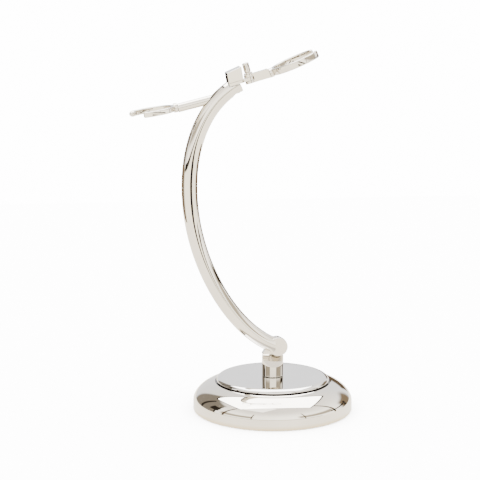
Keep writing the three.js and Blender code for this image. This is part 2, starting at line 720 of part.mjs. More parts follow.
function rightArm() {
  const lug = PIVOT_LUG_RADIUS;
  const { start, middle, end, past } = ARM_FLARE;
  const shape = new THREE.Shape();
  const neck = Math.asin(ARM_HALF_WIDTH / lug);
  shape.absarc(0, 0, lug, neck, 2 * Math.PI - neck, false);
  shape.lineTo(start, -ARM_HALF_WIDTH);
  shape.quadraticCurveTo(middle, -ARM_HALF_WIDTH, end, -ARM_END_HALF_WIDTH);
  shape.lineTo(past, -ARM_END_HALF_WIDTH);
  shape.lineTo(past, ARM_END_HALF_WIDTH);
  shape.lineTo(end, ARM_END_HALF_WIDTH);
  shape.quadraticCurveTo(middle, ARM_HALF_WIDTH, start, ARM_HALF_WIDTH);
  const bevel = ARM_BEVEL;
  const arm = new THREE.ExtrudeGeometry(shape, {
    depth: 2 * (ARM_HALF_HEIGHT - bevel),
    bevelEnabled: true,
    bevelThickness: bevel,
    bevelSize: bevel,
    bevelOffset: -bevel,
    bevelSegments: 1,
    curveSegments: 8,
  }).translate(0, 0, bevel - ARM_HALF_HEIGHT);
  const slotHalf = PIVOT_PLATE_HALF + GAP;
  const slot = cylinder(lug + ARM_SLOT_CLEARANCE, -slotHalf, slotHalf);
  const bore = cylinder(PIVOT_RADIUS + GAP, -5, 5, SMALL_ROUND);
  const endCutters = armEndCutters(RIGHT_RING, rightRingFrame).map((cutter) => into(headFrame, cutter));
  return cut(arm, slot, bore, ...endCutters);
}

function thumbScrew() {
  const edge = 0.45;
  const chamfer = 0.2;
  const shankEnd = 0.2 - ARM_HALF_HEIGHT;
  return turned([
    [0, shankEnd],
    [PIVOT_RADIUS, shankEnd],
    [PIVOT_RADIUS, THUMB_BOTTOM_Z],
    [THUMB_RADIUS - chamfer, THUMB_BOTTOM_Z],
    [THUMB_RADIUS, THUMB_BOTTOM_Z + chamfer],
    ...arcPoints(THUMB_RADIUS - edge, THUMB_TOP_Z - edge, edge, edge, 0, Math.PI / 2, 3),
    [0, THUMB_TOP_Z],
  ], SMALL_ROUND);
}

function thumbWasher() {
  const bottom = ARM_HALF_HEIGHT + GAP;
  return washer(PIVOT_RADIUS + GAP, THUMB_WASHER_RADIUS, bottom, THUMB_WASHER_TOP_Z, SMALL_ROUND);
}

function buildHead() {
  headFrame.add(
    piece('head_block', headBlock(), 'nickel'),
    piece('pivot_plate', pivotPlate(), 'nickel'),
    piece('head_screw', headScrew(), 'steel'),
    piece('right_arm', rightArm(), 'nickel'),
    piece('thumb_screw', thumbScrew(), 'nickel'),
    piece('thumb_washer', thumbWasher(), 'nickel'),
  );
  return headFrame;
}

function buildStem() {
  const stem = new THREE.Group();
  leftArmFrame.add(piece('left_arm', leftArm(), 'nickel'));
  leftForkFrame.add(
    piece('left_fork', joined(openRing(LEFT_FORK), endLobe(LEFT_FORK)), 'nickel'),
    piece('left_fork_screw', ringScrew(LEFT_FORK), 'steel'),
  );
  rightRingFrame.add(
    piece('right_ring', openRing(RIGHT_RING), 'nickel'),
    piece('right_ring_screw', ringScrew(RIGHT_RING), 'steel'),
  );
  stem.add(
    piece('friction_washer', frictionWasher(), 'steel'),
    piece('spring_washer', springWasher(), 'steel'),
    piece('hinge_screw', hingeScrew(), 'steel'),
    piece('curved_stem', curvedStem(), 'nickel'),
    leftArmFrame,
    leftForkFrame,
    buildHead(),
    rightRingFrame,
  );
  return stem;
}

const stand = new THREE.Group();
stand.add(buildBase(), piece('post', post(), 'nickel'), buildStem());

export default stand;
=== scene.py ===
"""Looks of the razor and brush stand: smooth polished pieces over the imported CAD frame.

Shapes are drawn in millimetres in the CAD frame (origin under the base, +Z up, stem in XZ,
front towards -Y) and scaled to metres when their mesh is made.
"""
import math

import bmesh
import bpy
from mathutils import Matrix, Vector


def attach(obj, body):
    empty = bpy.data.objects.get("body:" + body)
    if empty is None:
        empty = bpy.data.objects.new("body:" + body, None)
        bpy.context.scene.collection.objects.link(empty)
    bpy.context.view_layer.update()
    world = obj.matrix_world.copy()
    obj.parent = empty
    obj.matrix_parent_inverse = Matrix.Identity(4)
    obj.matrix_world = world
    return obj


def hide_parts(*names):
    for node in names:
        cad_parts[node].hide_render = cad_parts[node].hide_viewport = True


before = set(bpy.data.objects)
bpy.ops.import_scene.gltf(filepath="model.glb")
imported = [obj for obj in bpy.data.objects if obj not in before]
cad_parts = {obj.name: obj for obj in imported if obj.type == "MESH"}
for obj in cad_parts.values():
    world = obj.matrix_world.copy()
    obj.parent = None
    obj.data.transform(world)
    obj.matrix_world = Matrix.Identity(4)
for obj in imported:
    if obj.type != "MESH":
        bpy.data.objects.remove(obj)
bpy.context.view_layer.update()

MM = 0.001
PI = math.pi

# Dimensions shared with the CAD, in millimetres
GAP = 0.25
BASE_RADIUS = 39.0
RIM_Z = 0.4
WALL_TOP_Z = 5.0
DOME_TOP_Z = 14.3
DOME_TOP_RADIUS = 26.0
DOME_POWER = 1.11
LIP_SPACE = 0.4
LIP_RADIUS = 0.35
LIP_HEIGHT = 0.3
DISC_RADIUS = 27.6
DISC_BOTTOM_Z = 13.6
DISC_TOP_Z = 16.8
CAVITY_RADIUS = 36.8
CAVITY_TOP_Z = 11.0
CAVITY_WALL_Z = 4.6
CAVITY_SHOULDER_RADIUS = 34.6
CAVITY_SHOULDER_Z = 8.2
CAVITY_ROOF_RADIUS = 29.5
NUT_POCKET_RADIUS = 7.5
NUT_POCKET_TOP_Z = 8.4
WEIGHT_BORE_RADIUS = 3.4
NUT_FLATS = 10.0
NUT_BOTTOM_Z = 3.7
NUT_TOP_Z = 6.95
CLAMP_WASHER_RADIUS = 6.6
CLAMP_WASHER_BOTTOM_Z = 7.2
PAD_RADIUS = 36.2
PAD_TOP_Z = 1.05
PLATE_RADIUS = 36.4
PLATE_TOP_Z = 3.1
PLATE_SCREW_CIRCLE = 22.0
PLATE_SCREW_COUNT = 3
PLATE_SCREW_HEAD_RADIUS = 2.5
PLATE_SCREW_HEAD_Z = 1.4
PLATE_SCREW_NECK_Z = 2.55
PLATE_SCREW_RADIUS = 1.5
PLATE_SCREW_TOP_Z = 7.6
SCREW_HOLE_RIM = 3.1
SCREW_HOLE_RADIUS = 1.75
SCREW_HOLE_TOP_Z = 8.2
STUD_RADIUS = 3.0
STUD_END_Z = 4.3
POST_RADIUS = 5.25
POST_FOOT_Z = DISC_TOP_Z + GAP
SHOULDER_Z = 25.3
FACET_FRONT_Z = 22.0
FACET_BACK_Z = 27.4
TANG_FACE_Y = 0.6
TANG_BACK_Y = 4.4
TANG_RADIUS = 3.9
TANG_UNDERCUT = 3.0
REAR_FLAT_DROP = 0.4
ABOVE_POST_Z = 50.0
BESIDE_POST = 20.0
HINGE = (2.4, 31.8)
HINGE_SCREW_RADIUS = 1.5
HINGE_HEAD_RADIUS = 2.9
HINGE_HEAD_HEIGHT = 1.9
HINGE_SHANK_LENGTH = 8.0
HINGE_SOCKET_RADIUS = 1.3
HINGE_SOCKET_DEPTH = 1.2
HINGE_BORE_FRONT_Y = -2.75
SPRING_WASHER_SPACE = 1.15
SPRING_WASHER_BACK = 0.9
SPRING_WASHER_RADIUS = 3.2
FRICTION_WASHER_RADIUS = 3.6
FRICTION_WASHER_FRONT_Y = -0.1
EYE_RADIUS = 4.6
EYE_FRONT_Y = -3.3
EYE_BACK_Y = -0.35
LAP_RADIUS = 8.9
STEM_RADIUS = 3.85
STEM_ROOT_X = 0.9
STEM_OUTERMOST = (-40.5, 110.5)
STEM_TOP = (-16.4, 159.95)
STEM_ROOT_RISE = math.radians(14.5)
STEM_TOP_RISE = math.radians(27)
STEM_ROOT_REACH = 19.5
STEM_LOWER_REACH = 39.0
STEM_UPPER_REACH = 22.0
STEM_TOP_REACH = 18.2
HEAD = (-11.6, 162.2)
HEAD_RISE = math.radians(16)
ROOT_CUT_BOTTOM_Z = 20.0
ROOT_CUT_TOP_Z = 45.0
HEAD_REACH = 10.0
BLOCK_HALF_DEPTH = 5.0
BLOCK_LEFT = -10.6
BLOCK_RIGHT = -3.4
BLOCK_BOTTOM = 0.95
BLOCK_TOP_LEFT = (-10.1, 6.0)
BLOCK_TOP_RIGHT = (-2.7, 7.0)
PLATE_HALF = 0.7
PIVOT_PLATE_WIDTH = 6.4
LUG_RADIUS = 2.35
HEAD_SCREW_X = -7.8
HEAD_SCREW_RADIUS = 1.25
HEAD_SCREW_TIP_Z = 4.5
HEAD_SCREW_HEAD_RADIUS = 2.0
HEAD_SCREW_HEAD_HEIGHT = 1.3
HEAD_BORE_TOP_Z = 4.9
HEAD_BORE_BOTTOM_Z = -12.0
HEAD_BORE_RADIUS = 2.3
SCREW_SEAT_Z = -3.4
PIVOT_RADIUS = 0.95
THUMB_RADIUS = 1.6
THUMB_BOTTOM_Z = 3.2
THUMB_TOP_Z = 7.8
THUMB_WASHER_RADIUS = 2.15
THUMB_WASHER_TOP_Z = 2.95
PLATE_INSET = 0.3
PLATE_TAPER_FROM = -0.6
PLATE_TAPER_TO = 0.4
ARM_FLARE_START = 5.0
ARM_FLARE_MIDDLE = 8.0
ARM_FLARE_END = 10.0
ARM_PAST_END = 12.0
ARM_SLOT_CLEARANCE = 0.3
ARM_HALF_HEIGHT = 2.2
ARM_HALF_WIDTH = 1.7
ARM_END_HALF_WIDTH = 2.3
RIGHT_RING = dict(centre=(10.36, 169.98), rise=math.radians(23.5), turn=0.0, radius=12.5, height=3.4,
                  tips=(math.radians(-33), math.radians(33)))
LEFT_FORK = dict(centre=(-58.42, 146.99), rise=math.radians(9), turn=PI, radius=11.7, height=2.7,
                 tips=(math.radians(-40), math.radians(72)))
LEFT_ARM_END = (-45.6, 148.7)
LEFT_ARM_RISE = math.radians(13.9)
LEFT_ARM_RADIUS = 2.1
LEFT_ARM_LENGTH = 20.4
SPIGOT_RADIUS = 1.2
SPIGOT_LENGTH = 8.0
SPIGOT_SHOULDER = 3.0
BAND_WIDTH = 1.9
LOBE_RADIUS = 1.5
LOBE_STRETCH = 1.5
BOSS_RADIUS = 2.25
BOSS_LENGTH = 0.9
RING_SCREW_RADIUS = 0.6
RING_SCREW_HEAD = 0.95
RING_SCREW_SEAT = 1.2
RING_SCREW_REACH = 4.0
RING_BORE_INSIDE = 4.0
RING_BORE_LENGTH = 8.0
RING_SEAT_INSIDE = 3.0
RING_SEAT_LENGTH = 3.4
RING_SCREW_TOP = 0.85
RING_SCREW_SHOULDER = 0.15
RING_CORNER = 0.62
TIP_HEIGHT = 0.45
TIP_STEPS = 8
PAST_END = 12.0

FINE = 192
ROUND = 96
SMALL = 48
SHARP = math.radians(32)
WELD = 1e-8
ON_AXIS = 1e-6


# --- Mesh building ---

def to_object(mesh, name):
    obj = bpy.data.objects.new(name, mesh)
    bpy.context.scene.collection.objects.link(obj)
    return obj


def from_bm(bm, name):
    """An object in metres from a bmesh in millimetres."""
    bm.transform(Matrix.Scale(MM, 4))
    return to_object(finish_mesh(bm, name), name)


def finish_mesh(bm, name):
    bmesh.ops.remove_doubles(bm, verts=bm.verts, dist=WELD)
    bmesh.ops.recalc_face_normals(bm, faces=bm.faces)
    mesh = bpy.data.meshes.new(name)
    bm.to_mesh(mesh)
    bm.free()
    mesh.shade_smooth()
    mesh.set_sharp_from_angle(angle=SHARP)
    return mesh


def lathe_bm(profile, segments=ROUND):
    """A (radius, z) profile turned about Z. Points on the axis become single points."""
    bm = bmesh.new()
    rows = []
    for radius, z in profile:
        if radius < ON_AXIS:
            rows.append([bm.verts.new((0, 0, z))])
            continue
        row = []
        for i in range(segments):
            angle = 2 * PI * i / segments
            row.append(bm.verts.new((radius * math.cos(angle), radius * math.sin(angle), z)))
        rows.append(row)
    for low, high in zip(rows, rows[1:]):
        for i in range(segments):
            j = (i + 1) % segments
            corners = [low[i % len(low)], low[j % len(low)], high[j % len(high)], high[i % len(high)]]
            unique = list(dict.fromkeys(corners))
            if len(unique) > 2:
                bm.faces.new(unique)
    return bm


def prism_bm(outline, low, high):
    """A plan outline of (x, y) points between two heights."""
    bm = bmesh.new()
    bottom = [bm.verts.new((x, y, low)) for x, y in outline]
    top = [bm.verts.new((x, y, high)) for x, y in outline]
    bm.faces.new(bottom[::-1])
    bm.faces.new(top)
    count = len(outline)
    for i in range(count):
        j = (i + 1) % count
        bm.faces.new([bottom[i], bottom[j], top[j], top[i]])
    return bm


def sweep_bm(centres, normals, sides, section):
    """A closed section of (a, b) points swept along centres; a runs along normals, b along sides."""
    bm = bmesh.new()
    rows = []
    for centre, normal, side in zip(centres, normals, sides):
        rows.append([bm.verts.new(centre + normal * a + side * b) for a, b in section])
    for low, high in zip(rows, rows[1:]):
        count = len(section)
        for i in range(count):
            j = (i + 1) % count
            bm.faces.new([low[i], low[j], high[j], high[i]])
    bm.faces.new(rows[0][::-1])
    bm.faces.new(rows[-1])
    return bm


def arc(cx, cy, rx, ry, start, end, steps):
    """Points on an arc, from one angle to another."""
    return [(cx + rx * math.cos(start + (end - start) * i / steps),
             cy + ry * math.sin(start + (end - start) * i / steps)) for i in range(steps + 1)]


def rounded(profile, radius, steps=4):
    """The profile with each inner corner rounded off, except its two end points."""
    points = [profile[0]]
    for before, corner, after in zip(profile, profile[1:], profile[2:]):
        p, c, n = Vector(before), Vector(corner), Vector(after)
        to_p, to_n = p - c, n - c
        reach = min(radius, to_p.length * 0.45, to_n.length * 0.45)
        a = c + to_p.normalized() * reach
        b = c + to_n.normalized() * reach
        for i in range(steps + 1):
            t = i / steps
            points.append(tuple(a * (1 - t) ** 2 + c * 2 * t * (1 - t) + b * t * t))
    points.append(profile[-1])
    return points


def rounded_loop(outline, radius, steps=4):
    """A closed outline with every corner rounded off."""
    closed = [outline[-1]] + list(outline) + [outline[0]]
    return rounded(closed, radius, steps)[1:-1]


def box_bm(low, high):
    return prism_bm([(low[0], low[1]), (high[0], low[1]), (high[0], high[1]), (low[0], high[1])],
                    low[2], high[2])


def frame_matrix(x, z, rise, turn=0.0):
    return Matrix.Translation((x, 0, z)) @ Matrix.Rotation(-rise, 4, "Y") @ Matrix.Rotation(turn, 4, "Z")


HEAD_M = frame_matrix(HEAD[0], HEAD[1], HEAD_RISE)
LEFT_ARM_M = frame_matrix(LEFT_ARM_END[0], LEFT_ARM_END[1], LEFT_ARM_RISE)
ALONG_X = Matrix.Rotation(PI / 2, 4, "Y")
ALONG_Y = Matrix.Rotation(-PI / 2, 4, "X")
AGAINST_X = Matrix.Rotation(-PI / 2, 4, "Y")


def ring_matrix(ring):
    return frame_matrix(ring["centre"][0], ring["centre"][1], ring["rise"], ring["turn"])


def cylinder_bm(radius, low, high, segments=ROUND):
    return lathe_bm([(0, low), (radius, low), (radius, high), (0, high)], segments)


def moved(bm, matrix):
    bm.transform(matrix)
    return bm


def apply_boolean(body, tool, operation):
    modifier = body.modifiers.new("boolean", "BOOLEAN")
    modifier.operation = operation
    modifier.solver = "MANIFOLD"
    modifier.object = tool
    bake(body)
    bpy.data.objects.remove(tool)


def boolean(body, others, operation):
    """The object joined with, or cut by, bmeshes in millimetres."""
    for index, other in enumerate(others):
        apply_boolean(body, from_bm(other, f"{body.name}_tool_{index}"), operation)
    return body


def bake(obj):
    """Applies the object's modifiers."""
    graph = bpy.context.evaluated_depsgraph_get()
    graph.update()
    mesh = bpy.data.meshes.new_from_object(obj.evaluated_get(graph))
    obj.modifiers.clear()
    old = obj.data
    obj.data = mesh
    bpy.data.meshes.remove(old)
    mesh.shade_smooth()
    mesh.set_sharp_from_angle(angle=SHARP)


def soften(obj, width_mm, segments=3):
    """Breaks the edges with a small round, then keeps flat faces looking flat."""
    modifier = obj.modifiers.new("edge round", "BEVEL")
    modifier.width = width_mm * MM
    modifier.segments = segments
    modifier.limit_method = "ANGLE"
    modifier.angle_limit = SHARP
    modifier.harden_normals = True
    return obj


# --- Materials ---

def new_material(name):
    material = bpy.data.materials.new(name)
    material.use_nodes = True
    nodes = material.node_tree.nodes
    return material, nodes, material.node_tree.links, nodes["Principled BSDF"]


def noise(nodes, links, coords, scale, detail=4.0, roughness=0.55, stretch=None):
    source = coords
    if stretch:
        mapping = nodes.new("ShaderNodeMapping")
        mapping.inputs["Scale"].default_value = stretch
        links.new(coords, mapping.inputs["Vector"])
        source = mapping.outputs["Vector"]
    node = nodes.new("ShaderNodeTexNoise")
    node.inputs["Scale"].default_value = scale
    node.inputs["Detail"].default_value = detail
    node.inputs["Roughness"].default_value = roughness
    links.new(source, node.inputs["Vector"])
    return node.outputs["Fac"]


def ramp(nodes, links, factor, stops):
    node = nodes.new("ShaderNodeValToRGB")
    elements = node.color_ramp.elements
    while len(elements) < len(stops):
        elements.new(0.5)
    for element, (position, colour) in zip(elements, stops):
        element.position = position
        element.color = (*colour, 1.0)
    links.new(factor, node.inputs["Fac"])
    return node.outputs["Color"]


def spread(nodes, links, factor, low, high):
    node = nodes.new("ShaderNodeMapRange")
    node.inputs["To Min"].default_value = low
    node.inputs["To Max"].default_value = high
    links.new(factor, node.inputs["Value"])
    return node.outputs["Result"]


def bump(nodes, links, height, strength, distance, target):
    node = nodes.new("ShaderNodeBump")
    node.inputs["Strength"].default_value = strength
    node.inputs["Distance"].default_value = distance
    links.new(height, node.inputs["Height"])
    links.new(node.outputs["Normal"], target.inputs["Normal"])


def tinted(nodes, links, coords, colour, zone):
    """Mix a tint over the colour where the height or the radius from the Z axis is small.

    zone is (tint, "height" or "radius", metres of full tint, metres of none).
    """
    tint, measure, full, none = zone
    if measure == "height":
        split = nodes.new("ShaderNodeSeparateXYZ")
        links.new(coords, split.inputs["Vector"])
        distance = split.outputs["Z"]
    else:
        flat = nodes.new("ShaderNodeVectorMath")
        flat.operation = "MULTIPLY"
        flat.inputs[1].default_value = (1, 1, 0)
        links.new(coords, flat.inputs[0])
        length = nodes.new("ShaderNodeVectorMath")
        length.operation = "LENGTH"
        links.new(flat.outputs["Vector"], length.inputs[0])
        distance = length.outputs["Value"]
    share = nodes.new("ShaderNodeMapRange")
    share.inputs["From Min"].default_value = full
    share.inputs["From Max"].default_value = none
    links.new(distance, share.inputs["Value"])
    mix = nodes.new("ShaderNodeMix")
    mix.data_type = "RGBA"
    mix.inputs["A"].default_value = (*tint, 1.0)
    links.new(share.outputs["Result"], mix.inputs["Factor"])
    links.new(colour, mix.inputs["B"])
    return mix.outputs["Result"]


def polished_metal(name, tint_low, tint_high, rough_low, rough_high, zones=()):
    """Mirror plate: slow changes of tint, finger-wiped roughness and hairline polishing marks."""
    material, nodes, links, shader = new_material(name)
    shader.inputs["Metallic"].default_value = 1.0
    coords = nodes.new("ShaderNodeTexCoord").outputs["Object"]
    cloud = noise(nodes, links, coords, 45.0, 3.0)
    colour = ramp(nodes, links, cloud, [(0.35, tint_low), (0.65, tint_high)])
    for zone in zones:
        colour = tinted(nodes, links, coords, colour, zone)
    links.new(colour, shader.inputs["Base Color"])
    wiped = noise(nodes, links, coords, 160.0, 5.0, 0.6, (1.0, 1.0, 0.35))
    links.new(spread(nodes, links, wiped, rough_low, rough_high), shader.inputs["Roughness"])
    hairline = noise(nodes, links, coords, 900.0, 3.0, 0.5, (1.0, 1.0, 0.08))
    bump(nodes, links, hairline, 0.03, 0.00002, shader)
    return material


def turned_steel(name, tint):
    material, nodes, links, shader = new_material(name)
    shader.inputs["Metallic"].default_value = 1.0
    coords = nodes.new("ShaderNodeTexCoord").outputs["Object"]
    cloud = noise(nodes, links, coords, 260.0, 4.0)
    dark = tuple(0.82 * channel for channel in tint)
    links.new(ramp(nodes, links, cloud, [(0.3, dark), (0.7, tint)]), shader.inputs["Base Color"])
    marks = noise(nodes, links, coords, 2200.0, 3.0, 0.6, (1.0, 1.0, 0.15))
    links.new(spread(nodes, links, marks, 0.2, 0.42), shader.inputs["Roughness"])
    bump(nodes, links, marks, 0.15, 0.00003, shader)
    return material


def cast_iron(name):
    material, nodes, links, shader = new_material(name)
    shader.inputs["Metallic"].default_value = 0.75
    coords = nodes.new("ShaderNodeTexCoord").outputs["Object"]
    cloud = noise(nodes, links, coords, 140.0, 6.0)
    colour = ramp(nodes, links, cloud, [(0.3, (0.07, 0.065, 0.06)), (0.7, (0.19, 0.185, 0.18))])
    links.new(colour, shader.inputs["Base Color"])
    grit = noise(nodes, links, coords, 900.0, 8.0, 0.7)
    links.new(spread(nodes, links, grit, 0.55, 0.9), shader.inputs["Roughness"])
    bump(nodes, links, grit, 0.6, 0.0002, shader)
    return material


def rubber(name):
    material, nodes, links, shader = new_material(name)
    coords = nodes.new("ShaderNodeTexCoord").outputs["Object"]
    cloud = noise(nodes, links, coords, 300.0, 5.0)
    colour = ramp(nodes, links, cloud, [(0.3, (0.012, 0.012, 0.013)), (0.7, (0.035, 0.035, 0.037))])
    links.new(colour, shader.inputs["Base Color"])
    grain = noise(nodes, links, coords, 2400.0, 4.0, 0.6)
    links.new(spread(nodes, links, grain, 0.7, 0.95), shader.inputs["Roughness"])
    bump(nodes, links, grain, 0.4, 0.0001, shader)
    return material


# near-black painted shade for the groove where the top disc sits in the base's dome
GROOVE_PAINTED_SHADE = (0.03, 0.025, 0.02)
NICKEL = polished_metal("polished_nickel", (0.62, 0.58, 0.51), (0.68, 0.64, 0.57), 0.012, 0.04)
# The base's first zone tints the foot of the wall golden. Its second zone is painted groove shade: near-black
# on the dome's inner edge within 28.2 mm of the axis, fading out by 28.4 mm.
BASE_NICKEL = polished_metal("polished_nickel_base", (0.62, 0.585, 0.52), (0.68, 0.645, 0.58),
                             0.012, 0.035, (((0.56, 0.46, 0.29), "height", 0.0004, 0.0026),
                                            (GROOVE_PAINTED_SHADE, "radius", 0.0282, 0.0284)))
# The disc's zone is painted groove shade: near-black on its lower edge below 15.0 mm, fading out by 15.2 mm.
DISC_NICKEL = polished_metal("polished_nickel_disc", (0.62, 0.61, 0.59), (0.67, 0.66, 0.64),
                             0.01, 0.03, ((GROOVE_PAINTED_SHADE, "height", 0.0150, 0.0152),))
STEEL = turned_steel("fastener_steel", (0.62, 0.61, 0.59))
IRON = cast_iron("weight_iron")
RUBBER = rubber("pad_rubber")


def place(obj, node, body, material):
    """Gives a piece its material, its CAD body and the CAD node that it stands for."""
    obj.name = f"{node}_skin"
    obj.data.name = obj.name
    obj.data.materials.clear()
    obj.data.materials.append(material)
    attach(obj, body)
    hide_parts(node)


def nickel(obj, node, body, material=NICKEL):
    place(obj, node, body, material)


def steel(obj, node, body):
    place(obj, node, body, STEEL)


# --- Base ---

def dome_profile(steps=40):
    points = []
    for i in range(steps + 1):
        angle = PI / 2 * i / steps
        radius = DOME_TOP_RADIUS + (BASE_RADIUS - DOME_TOP_RADIUS) * math.cos(angle) ** DOME_POWER
        if radius > DISC_RADIUS + GAP + LIP_SPACE:
            points.append((radius, WALL_TOP_Z + (DOME_TOP_Z - WALL_TOP_Z) * math.sin(angle) ** DOME_POWER))
    return points


def cavity_corners(clearance):
    """The cavity under the dome, or the weight in it when drawn in by a clearance."""
    corners = [(CAVITY_RADIUS, CAVITY_WALL_Z), (CAVITY_SHOULDER_RADIUS, CAVITY_SHOULDER_Z),
               (CAVITY_ROOF_RADIUS, CAVITY_TOP_Z)]
    return [(radius - clearance, z - clearance) for radius, z in corners]


def make_base_shell():
    edge = 0.6
    bore = STUD_RADIUS + GAP
    seat = DISC_RADIUS + GAP
    seat_z = DISC_BOTTOM_Z - GAP
    lip_z = DOME_TOP_Z - LIP_RADIUS
    profile = [(CAVITY_RADIUS, RIM_Z), (BASE_RADIUS - edge, RIM_Z)]
    profile += arc(BASE_RADIUS - edge, RIM_Z + edge, edge, edge, -PI / 2, 0, 6)[1:]
    profile += dome_profile()
    profile += arc(seat + LIP_RADIUS, lip_z, LIP_RADIUS, LIP_HEIGHT, PI / 2, PI, 5)
    profile += [(seat, seat_z), (bore, seat_z), (bore, CAVITY_TOP_Z)]
    profile += cavity_corners(0)[::-1] + [(CAVITY_RADIUS, RIM_Z)]
    shell = from_bm(lathe_bm(profile, FINE), "base_shell_skin")
    nickel(shell, "base_shell", "base", BASE_NICKEL)


def make_top_disc():
    bore = STUD_RADIUS + GAP
    roll_w, roll_h = 2.6, 2.0
    undercut, flank, flank_drop = 0.8, 0.25, 0.7
    roll_z = DISC_TOP_Z - roll_h
    profile = [(bore, DISC_BOTTOM_Z), (DISC_RADIUS - undercut, DISC_BOTTOM_Z),
               (DISC_RADIUS - flank, roll_z - flank_drop)]
    profile += arc(DISC_RADIUS - roll_w, roll_z, roll_w, roll_h, 0, PI / 2, 20)
    profile += [(bore, DISC_TOP_Z), (bore, DISC_BOTTOM_Z)]
    disc = from_bm(lathe_bm(profile, FINE), "top_disc_skin")
    nickel(disc, "top_disc", "base", DISC_NICKEL)


def screw_spots():
    spots = []
    for i in range(PLATE_SCREW_COUNT):
        angle = PI / 2 + i * 2 * PI / PLATE_SCREW_COUNT
        spots.append((PLATE_SCREW_CIRCLE * math.cos(angle), PLATE_SCREW_CIRCLE * math.sin(angle)))
    return spots


def at_screws(make_bm):
    return [moved(make_bm(), Matrix.Translation((x, y, 0))) for x, y in screw_spots()]


def make_weight():
    low = PLATE_TOP_Z + GAP
    profile = [(NUT_POCKET_RADIUS, low), (CAVITY_RADIUS - GAP, low), *cavity_corners(GAP),
               (WEIGHT_BORE_RADIUS, CAVITY_TOP_Z - GAP), (WEIGHT_BORE_RADIUS, NUT_POCKET_TOP_Z),
               (NUT_POCKET_RADIUS, NUT_POCKET_TOP_Z), (NUT_POCKET_RADIUS, low)]
    weight = from_bm(lathe_bm(profile, ROUND), "base_weight_skin")
    holes = at_screws(lambda: cylinder_bm(SCREW_HOLE_RADIUS, low - 1, SCREW_HOLE_TOP_Z, SMALL))
    place(boolean(weight, holes, "DIFFERENCE"), "base_weight", "base", IRON)


def make_plate_and_pad():
    low = PAD_TOP_Z + GAP
    profile = rounded([(0, low), (PLATE_RADIUS, low), (PLATE_RADIUS, PLATE_TOP_Z), (0, PLATE_TOP_Z)], 0.25)
    plate = from_bm(lathe_bm(profile, FINE), "base_plate_skin")
    below, above = 1, 4
    sunk = [(0, below), (SCREW_HOLE_RIM, below), (SCREW_HOLE_RADIUS, PLATE_SCREW_NECK_Z),
            (SCREW_HOLE_RADIUS, above), (0, above)]
    holes = at_screws(lambda: lathe_bm(sunk, SMALL))
    steel(boolean(plate, holes, "DIFFERENCE"), "base_plate", "base")

    profile = rounded([(0, 0), (PAD_RADIUS, 0), (PAD_RADIUS, PAD_TOP_Z), (0, PAD_TOP_Z)], 0.3)
    pad = from_bm(lathe_bm(profile, FINE), "base_pad_skin")
    place(pad, "base_pad", "base", RUBBER)


def make_clamp():
    bore = STUD_RADIUS + GAP
    low, high = CLAMP_WASHER_BOTTOM_Z, NUT_POCKET_TOP_Z - GAP
    outer = CLAMP_WASHER_RADIUS
    washer = rounded([(bore, low), (outer, low), (outer, high), (bore, high), (bore, low)], 0.15)
    steel(from_bm(lathe_bm(washer, ROUND), "clamp_washer_skin"), "clamp_washer", "base")

    across = NUT_FLATS / math.sqrt(3)
    hexagon = [(across * math.cos(PI / 2 + i * PI / 3), across * math.sin(PI / 2 + i * PI / 3))
               for i in range(6)]
    nut = from_bm(prism_bm(hexagon, NUT_BOTTOM_Z, NUT_TOP_Z), "clamp_nut_skin")
    boolean(nut, [cylinder_bm(bore, 0, BESIDE_POST, SMALL)], "DIFFERENCE")
    steel(soften(nut, 0.2), "clamp_nut", "base")


def make_plate_screws():
    head, chamfer, tip = PLATE_SCREW_HEAD_RADIUS, 0.1, 0.2
    radius, top, head_z = PLATE_SCREW_RADIUS, PLATE_SCREW_TOP_Z, PLATE_SCREW_HEAD_Z
    profile = [(0, head_z), (head - chamfer, head_z), (head, head_z + chamfer), (radius, PLATE_SCREW_NECK_Z),
               (radius, top - tip), (radius - tip, top), (0, top)]
    reach, half, low, high = 1.4, 0.25, 1, 1.95
    for index, (x, y) in enumerate(screw_spots()):
        screw = from_bm(lathe_bm(profile, SMALL), f"plate_screw_{index + 1}_skin")
        cross = [box_bm((-reach, -half, low), (reach, half, high)),
                 box_bm((-half, -reach, low), (half, reach, high))]
        boolean(screw, cross, "DIFFERENCE")
        screw.location = (x * MM, y * MM, 0)
        steel(screw, f"plate_screw_{index + 1}", "base")


# --- Post and hinge ---

def post_outline():
    """Front outline of the post: straight sides that round over towards the hinge."""
    reach = Vector((HINGE[0], HINGE[1] - SHOULDER_Z))
    heading = math.atan2(reach.y, reach.x)
    half = math.acos((POST_RADIUS - TANG_RADIUS) / reach.length)
    left, right = heading + half, heading - half
    shoulder_drop = 2
    points = [(POST_RADIUS, POST_FOOT_Z), (POST_RADIUS, SHOULDER_Z - shoulder_drop)]
    points += arc(HINGE[0], HINGE[1], TANG_RADIUS, TANG_RADIUS, right, left, 40)
    points += arc(0, SHOULDER_Z, POST_RADIUS, POST_RADIUS, left, PI, 24)
    points += [(-POST_RADIUS, POST_FOOT_Z)]
    return points


def upright_prism(outline, front, back):
    """An outline of (x, z) points between two depths y."""
    return moved(prism_bm(outline, -back, -front), Matrix.Rotation(PI / 2, 4, "X"))


